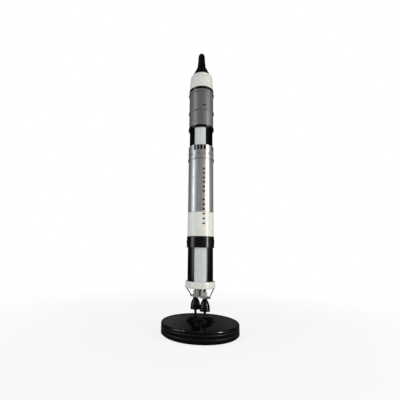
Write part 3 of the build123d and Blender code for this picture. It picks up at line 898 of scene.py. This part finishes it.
def markedTube(lines, heights):
    # tick marks, upright joints and rows of rivets at the given heights
    def pattern(graph, x, y, z, colour):
        seam = seamLines(graph, x, y, lines, 0.25, front - 38)
        marked = graph.blend(markMask(graph, x, y, z) * 0.96, colour, black)
        seamed = graph.blend(seam * 0.12, marked, rgba((0.05, 0.05, 0.05)))
        rivets = rivetRows(graph, x, y, z, heights, 6.0)
        return seamed, rivets * 0.06 - seam * 0.05, 0.0
    return pattern


def stripedTube(side, half, heights):
    # white panels on black, with upright joints on the white and rows of rivets
    def pattern(graph, x, y, z, colour):
        onWhite = panelMask(graph, x, y, side, half)
        seam = seamLines(graph, x, y, 8, 0.25, front + side)
        rivets = rivetRows(graph, x, y, z, heights, 6.0)
        both = graph.blend(onWhite, black, colour)
        seamed = graph.blend(seam * onWhite * 0.35, both, rgba((0.25, 0.25, 0.25)))
        return seamed, rivets * 0.06 - seam * 0.06 + onWhite * 0.03, onWhite * 0.18
    return pattern


# the tubes: how far their ends are chamfered and where their shallow weld lines run
tubeCrease = 12  # the degrees past which an edge is sharp, so that long walls shade evenly
tubeShape = {"wall": 2.0, "chamfer": 0.3, "weldDepth": 0.18, "weldHalf": 0.35}


def makeTube(node, welds=()):
    low, top, radius = span(node)
    chamfer, half = tubeShape["chamfer"], tubeShape["weldHalf"]
    inner = radius - tubeShape["wall"]
    outline = [(inner, low), (radius - chamfer, low), (radius, low + chamfer)]
    for weld in welds:
        outline += [(radius, weld - half), (radius - tubeShape["weldDepth"], weld), (radius, weld + half)]
    outline += [(radius, top - chamfer), (radius - chamfer, top), (inner, top)]
    return turned(outline, steps=128, soft=0.08)


skirtShape = {"gap": 0.05, "grooveHalf": 0.4, "grooveDepth": 0.55, "grooveEdge": 0.25, "taper": 0.5}


def makeSkirt():
    # a ring with a rounded foot, a groove round the middle and a softer upper edge
    shape = skirtShape
    low, top, radius = span("aft_skirt")
    inner = span("aft_barrel")[2] + shape["gap"]
    upper = radius - shape["taper"]
    groove, half, edge = (low + top) / 2, shape["grooveHalf"], radius - shape["grooveEdge"]
    outline = [(inner, low), (radius - 1.2, low), (radius - 0.2, low + 0.9), (radius, low + 1.6)]
    outline += [(edge, groove - half), (radius - shape["grooveDepth"], groove), (edge, groove + half)]
    outline += [(upper, top - 2.2), (upper - 0.3, top - 1.0), (upper - 0.9, top), (inner, top)]
    return turned(outline, steps=128, soft=0.12, crease=20)


def skirtPattern(graph, x, y, z, colour):
    low, top, _ = span("aft_skirt")
    seam = seamLines(graph, x, y, 8, 0.4, front + 9)
    rivets = rivetRows(graph, x, y, z, (low + 3.0, top - 2.8), 5.0)
    seamed = graph.blend(seam * 0.5, colour, rgba((0.3, 0.29, 0.25)))
    return seamed, rivets * 0.1 - seam * 0.1, 0.0


aftLow = span("aft_skirt")[1]
bandLow, bandTop, _ = span("band_ring")
whiteLow, whiteTop, _ = span("white_barrel")
silverLow, silverTop, _ = span("silver_barrel")
aftPanels = stripedTube(panels["aftSide"], panels["aftHalf"], (aftLow + 4.0, bandLow - 5.0))
whiteMarks = markedTube(6, (bandTop + 4.5, whiteTop - 4.5))
silverMarks = markedTube(6, (silverLow + 2.2, silverTop - 2.2))
skirtPaint = paintedFinish("skirtPaint", "white", pattern=skirtPattern)
aftPaint = paintedFinish("aftPaint", "striped", (aftLow, bandLow), aftPanels)
whitePaint = paintedFinish("whiteBarrelPaint", "white", (bandTop, whiteTop), whiteMarks)
silverPaint = paintedFinish("silverPaint", "silver", (silverLow, silverTop), silverMarks)
aftBarrel = makeTube("aft_barrel", (aftLow + 2.0, bandLow - 3.0))
whiteBarrel = makeTube("white_barrel", (bandTop + 2.5, whiteTop - 2.5))
silverBarrel = makeTube("silver_barrel", (silverLow + 40.0, silverLow + 84.0))
finishPiece("aftSkirt", makeSkirt(), "aft_skirt", skirtPaint)
finishPiece("aftBarrel", aftBarrel, "aft_barrel", aftPaint, tubeCrease)
finishPiece("whiteBarrel", whiteBarrel, "white_barrel", whitePaint, tubeCrease)
finishPiece("silverBarrel", silverBarrel, "silver_barrel", silverPaint, tubeCrease)

bandShape = {
    "lip": 0.7,
    "lipHeight": 2.2,
    "lipChamfer": 0.4,
    "grooveDrop": 2.0,
    "grooveDepth": 0.25,
    "grooveHalf": 0.2,
    "boxes": 8,
    "boxWidth": 7.0,
    "boxHeight": 9.0,
    "boxDepth": 0.5,
    "boltInset": 1.2,
    "screws": 24,
    "screwStart": 7.5,
}


def makeBand():
    # a raised ring with a lip at its foot, small housings round it and screws in the lip
    shape = bandShape
    low, top, lipRadius = span("band_ring")
    radius = lipRadius - shape["lip"]
    bore = span("aft_barrel")[2] + 0.05
    upperBore = span("white_barrel")[2] + 0.05
    chamfer, lipTop = shape["lipChamfer"], low + shape["lipHeight"]
    groove, half, sunk = top - shape["grooveDrop"], shape["grooveHalf"], radius - shape["grooveDepth"]
    outline = [(bore, low), (lipRadius - chamfer, low), (lipRadius, low + chamfer)]
    outline += [(lipRadius, lipTop - chamfer), (radius, lipTop), (radius, groove - 2 * half)]
    outline += [(sunk, groove - half), (sunk, groove + half), (radius, groove + 2 * half)]
    outline += [(radius, top - 0.5), (radius - 0.5, top), (upperBore, top)]
    outline += [(upperBore, whiteLow), (bore, whiteLow)]
    ring = turned(outline, steps=128, soft=0.1)
    middle = (low + top) / 2
    depth = shape["boxDepth"] * 2
    outer = radius + depth / 2

    def housing():
        parts = [block((depth, shape["boxWidth"], shape["boxHeight"]), (radius, 0, middle), 0.3)]
        side = shape["boxWidth"] / 2 - shape["boltInset"]
        rise = shape["boxHeight"] / 2 - shape["boltInset"]
        for across in (-side, side):
            for up in (-rise, rise):
                parts.append(stud(0.4, 0.3, (outer, across, middle + up), 10, "X"))
        return gather(parts)

    def screw():
        return stud(0.45, 0.4, (lipRadius, 0, low + shape["lipHeight"] / 2), 10, "X")

    housings = around(housing, shape["boxes"])
    return gather([ring, housings, around(screw, shape["screws"], shape["screwStart"])])


bandPaint = paintedFinish("bandPaint", "glossBlack", (bandLow + bandShape["lipHeight"],))
finishPiece("bandRing", makeBand(), "band_ring", bandPaint, tubeCrease)


bulkheadShape = {"rim": 1.2, "groove": 2.2, "depth": 0.6, "slope": 0.4}


def makeBulkhead():
    # a disc with a shallow groove under its rim
    low, top, radius = span("aft_bulkhead")
    slope, floor = bulkheadShape["slope"], low + bulkheadShape["depth"]
    outer = radius - bulkheadShape["rim"]
    inner = outer - bulkheadShape["groove"]
    outline = [(0, low), (inner, low), (inner + slope, floor), (outer - slope, floor), (outer, low)]
    outline += [(radius, low), (radius, top), (0, top)]
    return turned(outline, steps=112, soft=0.1)


finishPiece("aftBulkhead", makeBulkhead(), "aft_bulkhead", plain["white"])

collarLow, collarTop, _ = span("interstage_collar")
collarRadius = span("silver_barrel")[2] + 0.5
collarShape = {"bead": 0.3, "beadHalf": 0.7, "beadHeight": 7.6, "root": 0.6}


def makeCollar():
    # the collar's own shape, with a small bead between its vents and its foot
    collar = softCopy("interstage_collar", 0.12)
    height, half, rise = collarLow + collarShape["beadHeight"], collarShape["beadHalf"], collarShape["bead"]
    root = collarRadius - collarShape["root"]
    outline = [(root, height - half)]
    for step in range(7):
        lean = radians(-90 + step * 30)
        outline.append((collarRadius + rise * cos(lean), height + half * sin(lean)))
    outline.append((root, height + half))
    return gather([collar, turned(outline, steps=128, soft=0)])


def collarPattern(graph, x, y, z, colour):
    # bright worn patches by the vents, joints and rivets, and painted shade inside the vents and the bore,
    # blended to black
    seam = seamLines(graph, x, y, 8, 0.3, front + 22)
    patch = z.near(collarTop - 6.5, 6.0, 1.5) * graph.noise(4.0, 3.0).fade(0.4, 0.62)
    lighter = graph.blend(patch * 0.4, colour, rgba((0.75, 0.75, 0.76)))
    darker = graph.blend(seam * 0.3, lighter, rgba((0.06, 0.06, 0.06)))
    # painted shade: inside the collar's wall, the vent sides and the bore turn black
    inside = 1 - (x * x + y * y).root().fade(collarRadius - 0.9, collarRadius - 0.5)
    rivets = rivetRows(graph, x, y, z, (collarTop - 17.0, collarLow + 6.0), 7.5)
    return graph.blend(inside, darker, black), rivets * 0.08 - seam * 0.08, 0.0


collarPaint = paintedFinish("collarPaint", "silver", (collarLow, collarTop - 24.6), collarPattern)
finishPiece("interstageCollar", makeCollar(), "interstage_collar", collarPaint, tubeCrease)
screws = softCopy("interstage_screws", 0.15)
finishPiece("interstageScrews", screws, "interstage_screws", plain["capsuleBlack"])
dressNode("interstage_deck", plain["satinBlack"])
print("first stage ready")

# the second stage
nozzleShape = {"wall": 1.0, "neck": 5.0, "lip": 0.3, "lipHeight": 0.8, "fullness": 1.5}


def makeUpperNozzle():
    low, top, mouth = span("stage_two_nozzle")
    wall, neck, fullness = nozzleShape["wall"], nozzleShape["neck"], nozzleShape["fullness"]
    outer, start, roof = mouth - nozzleShape["lip"], low + nozzleShape["lipHeight"], top - 2 * wall
    outline = [(mouth - wall, low), (mouth, low), (mouth, start), (outer, start)]
    for step in range(1, 15):
        part = step / 14
        outline.append((neck + (outer - neck) * (1 - part ** fullness), start + (top - start) * part))
    outline += [(0, top), (0, roof), (neck - wall, roof)]
    for step in range(13, 0, -1):
        part = step / 14
        outline.append((neck - wall + (mouth - neck) * (1 - part ** fullness), low + (roof - low) * part))
    return turned(outline, steps=64, soft=0.1)


finishPiece("upperNozzle", makeUpperNozzle(), "stage_two_nozzle", plain["glossBlack"])
dressNode("aft_bulkhead_two", plain["satinBlack"])
dressNode("forward_bulkhead", plain["satinBlack"])
for node in ("coupler_lower", "coupler_middle", "coupler_upper", "coupler_stage_two"):
    dressNode(node, plain["satinBlack"])

stripeLow, stripeTop, stripeRadius = span("striped_skirt")
upperPanels = stripedTube(panels["upperSide"], panels["upperHalf"], (stripeLow + 3.0, stripeTop - 3.0))
stripePaint = paintedFinish("upperStripePaint", "mattStriped", (stripeLow, stripeTop), upperPanels)
stripedSkirt = makeTube("striped_skirt", (stripeLow + 1.6,))
finishPiece("stripedSkirt", stripedSkirt, "striped_skirt", stripePaint, tubeCrease)

ringShape = {"chamfer": 0.6, "groove": 0.3, "grooveHalf": 0.5, "grooveFloor": 0.2}


def makeRing(node, bore):
    # a chamfered ring with one groove round it
    low, top, radius = span(node)
    chamfer, half, floor = ringShape["chamfer"], ringShape["grooveHalf"], ringShape["grooveFloor"]
    middle, sunk = (low + top) / 2, radius - ringShape["groove"]
    outline = [(bore, low), (radius - chamfer, low), (radius, low + chamfer), (radius, middle - half)]
    outline += [(sunk, middle - floor), (sunk, middle + floor), (radius, middle + half)]
    outline += [(radius, top - chamfer), (radius - chamfer, top), (bore, top)]
    return turned(outline, steps=128, soft=0.1)


ringBore = stripeRadius - tubeShape["wall"]
finishPiece("skirtRing", makeRing("skirt_ring", ringBore), "skirt_ring", plain["glossBlack"])
finishPiece("forwardRing", makeRing("forward_ring", ringBore), "forward_ring", plain["glossBlack"])

greyLow, greyTop, greyRadius = span("grey_barrel")
dash = {"side": 14.0, "half": 9.0, "height": 543.5, "depth": 1.6}
hatch = {"side": -24.0, "half": 11.0, "height": 514.0, "depth": 9.0, "line": 1.1, "lineDepth": 0.6}
hoopShape = {"height": 3.0, "round": 0.8, "gap": 0.03}


def greyPattern(graph, x, y, z, colour):
    # a dark vent dash, a lighter hatch with an outline, and panel joints
    bearing = graph.bearing(x, y)
    vent = bearing.near(front + dash["side"], dash["half"], 0.5) * z.near(dash["height"], dash["depth"], 0.3)
    side, half, height, depth = front + hatch["side"], hatch["half"], hatch["height"], hatch["depth"]
    whole = bearing.near(side, half, 0.3) * z.near(height, depth, 0.2)
    inner = bearing.near(side, half - hatch["line"], 0.3) * z.near(height, depth - hatch["lineDepth"], 0.2)
    outline = whole - inner
    seam = seamLines(graph, x, y, 6, 0.25, front - 50)
    toned = graph.blend(whole * 0.1, colour, rgba((0.4, 0.4, 0.4)))
    lined = graph.blend((outline * 0.5).high(seam * 0.3), toned, rgba((0.05, 0.05, 0.05)))
    vented = graph.blend(vent * 0.95, lined, black)
    rivets = rivetRows(graph, x, y, z, (greyLow + 4.0, greyTop - 4.0, greyTop - 14.0), 6.0)
    return vented, rivets * 0.07 - seam * 0.06 - outline * 0.06 - vent * 0.15, 0.0


greyPaint = paintedFinish("greyPaint", "darkSilver", (greyLow, greyTop), greyPattern)
greyBarrel = makeTube("grey_barrel", (greyLow + 13.0, greyTop - 12.0))
finishPiece("greyBarrel", greyBarrel, "grey_barrel", greyPaint, tubeCrease)


def makeHoops():
    # two round-backed hoops, at the ends of their node
    low, top, radius = span("barrel_hoops")
    height, inner = hoopShape["height"], greyRadius + hoopShape["gap"]
    bulge = (radius - greyRadius) * hoopShape["round"]
    hoops = []
    for start in (low, top - height):
        outline = [(inner, start)]
        for step in range(9):
            lean = radians(-80 + step * 20)
            outline.append((radius - bulge * (1 - cos(lean)), start + height / 2 * (1 + sin(lean))))
        outline.append((inner, start + height))
        hoops.append(turned(outline, steps=128, soft=0))
    return gather(hoops)


finishPiece("barrelHoops", makeHoops(), "barrel_hoops", plain["darkSilver"])
print("second stage ready")

# the spacecraft: ribbed white adapters under a black capsule
adapterShape = {
    "wall": 1.6,
    "ribs": 6,
    "retroRibs": 2,
    "retroGap": 0.2,
    "ribRise": 0.4,
    "ribHalf": 0.7,
    "shoulderInset": 0.6,
    "shoulderDrop": 3.8,
    "stringers": 36,
}


def makeCone(node, upperRadius, ribs, shoulder=None):
    # a cone ring with raised ribs, straight to the top or to a shoulder below it
    low, top, radius = span(node)
    wall, half, rise = adapterShape["wall"], adapterShape["ribHalf"], adapterShape["ribRise"]
    bend = shoulder or (upperRadius, top)
    outline = [(radius - wall, low), (radius, low)]
    for number in range(ribs):
        part = (number + 0.7) / (ribs + 0.4)
        height = low + (bend[1] - low) * part
        width = radius + (bend[0] - radius) * part
        outline += [(width, height - half), (width + rise, height - 0.2)]
        outline += [(width + rise, height + 0.2), (width, height + half)]
    outline += [bend] if shoulder else []
    outline += [(upperRadius, top), (upperRadius - wall, top)]
    return turned(outline, steps=112, soft=0.08, crease=20)


def adapterPattern(graph, x, y, z, colour):
    # stringers close round the cone with painted shade in the grooves along them, panel joints and spots of
    # grime
    bearing = graph.bearing(x, y)
    stringers = bearing.wrap(360 / adapterShape["stringers"]).fade(0.6, 1.8)
    panel = seamLines(graph, x, y, 6, 0.5, front - 30)
    spots = graph.noise(3.0, 3.0).fade(0.62, 0.7)
    # painted shade along the stringer lines, where the bump sinks
    shaded = graph.blend((1 - stringers) * 0.16, colour, rgba((0.45, 0.43, 0.36)))
    marked = graph.blend(spots * 0.15 + panel * 0.3, shaded, rgba((0.35, 0.33, 0.28)))
    return marked, stringers * 0.12 - panel * 0.1, 0.0


splitZ, _, splitRadius = span("retro_adapter")
shieldZ, _, shieldRadius = span("heat_shield")
adapterSeams = (splitZ, shieldZ, span("equipment_adapter")[0])
adapterPaint = paintedFinish("adapterPaint", "white", adapterSeams, adapterPattern)
equipment = makeCone("equipment_adapter", splitRadius, adapterShape["ribs"])
shoulder = (splitRadius - adapterShape["shoulderInset"], shieldZ - adapterShape["shoulderDrop"])
retroTop = shieldRadius + adapterShape["retroGap"]
retro = makeCone("retro_adapter", retroTop, adapterShape["retroRibs"], shoulder)
finishPiece("equipmentAdapter", equipment, "equipment_adapter", adapterPaint)
finishPiece("retroAdapter", retro, "retro_adapter", adapterPaint)
dressNode("adapter_plate", plain["white"])

capsuleShape = {
    "cabinTop": 11.0,
    "cabinBands": 9,
    "ports": 8,
    "portStart": 22.5,
    "portRadius": 0.95,
    "portRim": 0.62,
    "portWall": 0.5,
    "noseGrooves": 3,
    "noseDepth": 0.25,
    "capFullness": 2.3,
    "capSlimness": 0.6,
}


def makeShield():
    low, top, radius = span("heat_shield")
    outline = [(0, low), (radius - 0.8, low), (radius, low + 0.5)]
    outline += [(radius, top - 0.3), (radius - 0.4, top), (0, top)]
    return turned(outline, steps=96, soft=0.1)


def makeCabin():
    # a cone of overlapping shingle bands
    low, _, radius = span("cabin")
    top = span("rcs_section")[0]
    upper = capsuleShape["cabinTop"]
    outline = [(0, low), (radius - 0.4, low), (radius, low + 0.5)]
    bands = capsuleShape["cabinBands"]
    for number in range(1, bands):
        part = number / bands
        height = low + (top - low) * part
        width = radius + (upper - radius) * part
        outline += [(width + 0.04, height - 0.22), (width - 0.16, height), (width - 0.02, height + 0.22)]
    outline += [(upper, top), (0, top)]
    return turned(outline, steps=96, soft=0.05, crease=15)


def makeNose():
    low, _, radius = span("nose_section")
    top, _, upper = span("nose_cap")
    grooves = capsuleShape["noseGrooves"]
    outline = [(0, low), (radius, low)]
    for number in range(grooves):
        part = (number + 1) / (grooves + 1)
        height = low + (top - low) * part
        width = radius + (upper - radius) * part
        sunk = width - capsuleShape["noseDepth"]
        outline += [(width, height - 0.3), (sunk, height - 0.1), (sunk, height + 0.1), (width, height + 0.3)]
    outline += [(upper, top), (0, top)]
    return turned(outline, steps=80, soft=0.06)


def makeThrusters():
    # the control section: a short drum with small round ports
    low, _, radius = span("rcs_section")
    top = span("nose_section")[0]
    upper = radius - 0.4
    outline = [(0, low), (radius - 0.3, low), (radius, low + 0.4)]
    outline += [(upper + 0.05, top - 0.4), (upper - 0.25, top), (0, top)]
    drum = turned(outline, steps=80, soft=0.08)
    middle = (low + top) / 2

    def port():
        ring = bmesh.new()
        bmesh.ops.create_circle(ring, cap_ends=False, segments=20, radius=capsuleShape["portRadius"] * mm)
        rim = bmesh.ops.extrude_edge_only(ring, edges=ring.edges[:])["geom"]
        verts = [part for part in rim if isinstance(part, bmesh.types.BMVert)]
        bmesh.ops.scale(ring, verts=verts, vec=(capsuleShape["portRim"], capsuleShape["portRim"], 1))
        bmesh.ops.solidify(ring, geom=ring.faces[:], thickness=capsuleShape["portWall"] * mm)
        bmesh.ops.recalc_face_normals(ring, faces=ring.faces)
        bmesh.ops.rotate(ring, verts=ring.verts, cent=(0, 0, 0), matrix=Matrix.Rotation(pi / 2, 3, "Y"))
        bmesh.ops.translate(ring, verts=ring.verts, vec=Vector((radius - 0.15, 0, middle)) * mm)
        return ring

    return gather([drum, around(port, capsuleShape["ports"], capsuleShape["portStart"])])


def makeCap():
    low, top, radius = span("nose_cap")
    fullness, slimness, start = capsuleShape["capFullness"], capsuleShape["capSlimness"], low + 0.5
    outline = [(0, low), (radius, low), (radius, start)]
    for step in range(1, 15):
        part = step / 15
        outline.append((radius * (1 - part ** fullness) ** slimness, start + (top - start) * part))
    outline.append((0, top))
    return turned(outline, steps=72, soft=0)


def capsulePattern(graph, x, y, z, colour):
    # corrugated shingles that run up the cabin and the nose
    shingles = graph.bearing(x, y).wrap(6.0).fade(0.2, 2.6)
    worn = graph.noise(2.0, 5.0, rough=0.7).fade(0.55, 0.75)
    return graph.blend(worn * 0.2, colour, rgba((0.05, 0.045, 0.05))), shingles * 0.12, worn * 0.06


capsulePaint = paintedFinish("capsulePaint", "capsuleBlack", (), capsulePattern)
finishPiece("heatShield", makeShield(), "heat_shield", plain["satinBlack"])
finishPiece("cabin", makeCabin(), "cabin", capsulePaint)
finishPiece("cabinHatches", softCopy("cabin_hatches", 0.25), "cabin_hatches", plain["glossBlack"])
finishPiece("thrusterSection", makeThrusters(), "rcs_section", capsulePaint)
finishPiece("noseSection", makeNose(), "nose_section", capsulePaint)
finishPiece("noseCap", makeCap(), "nose_cap", plain["capsuleBlack"])
print("spacecraft ready")
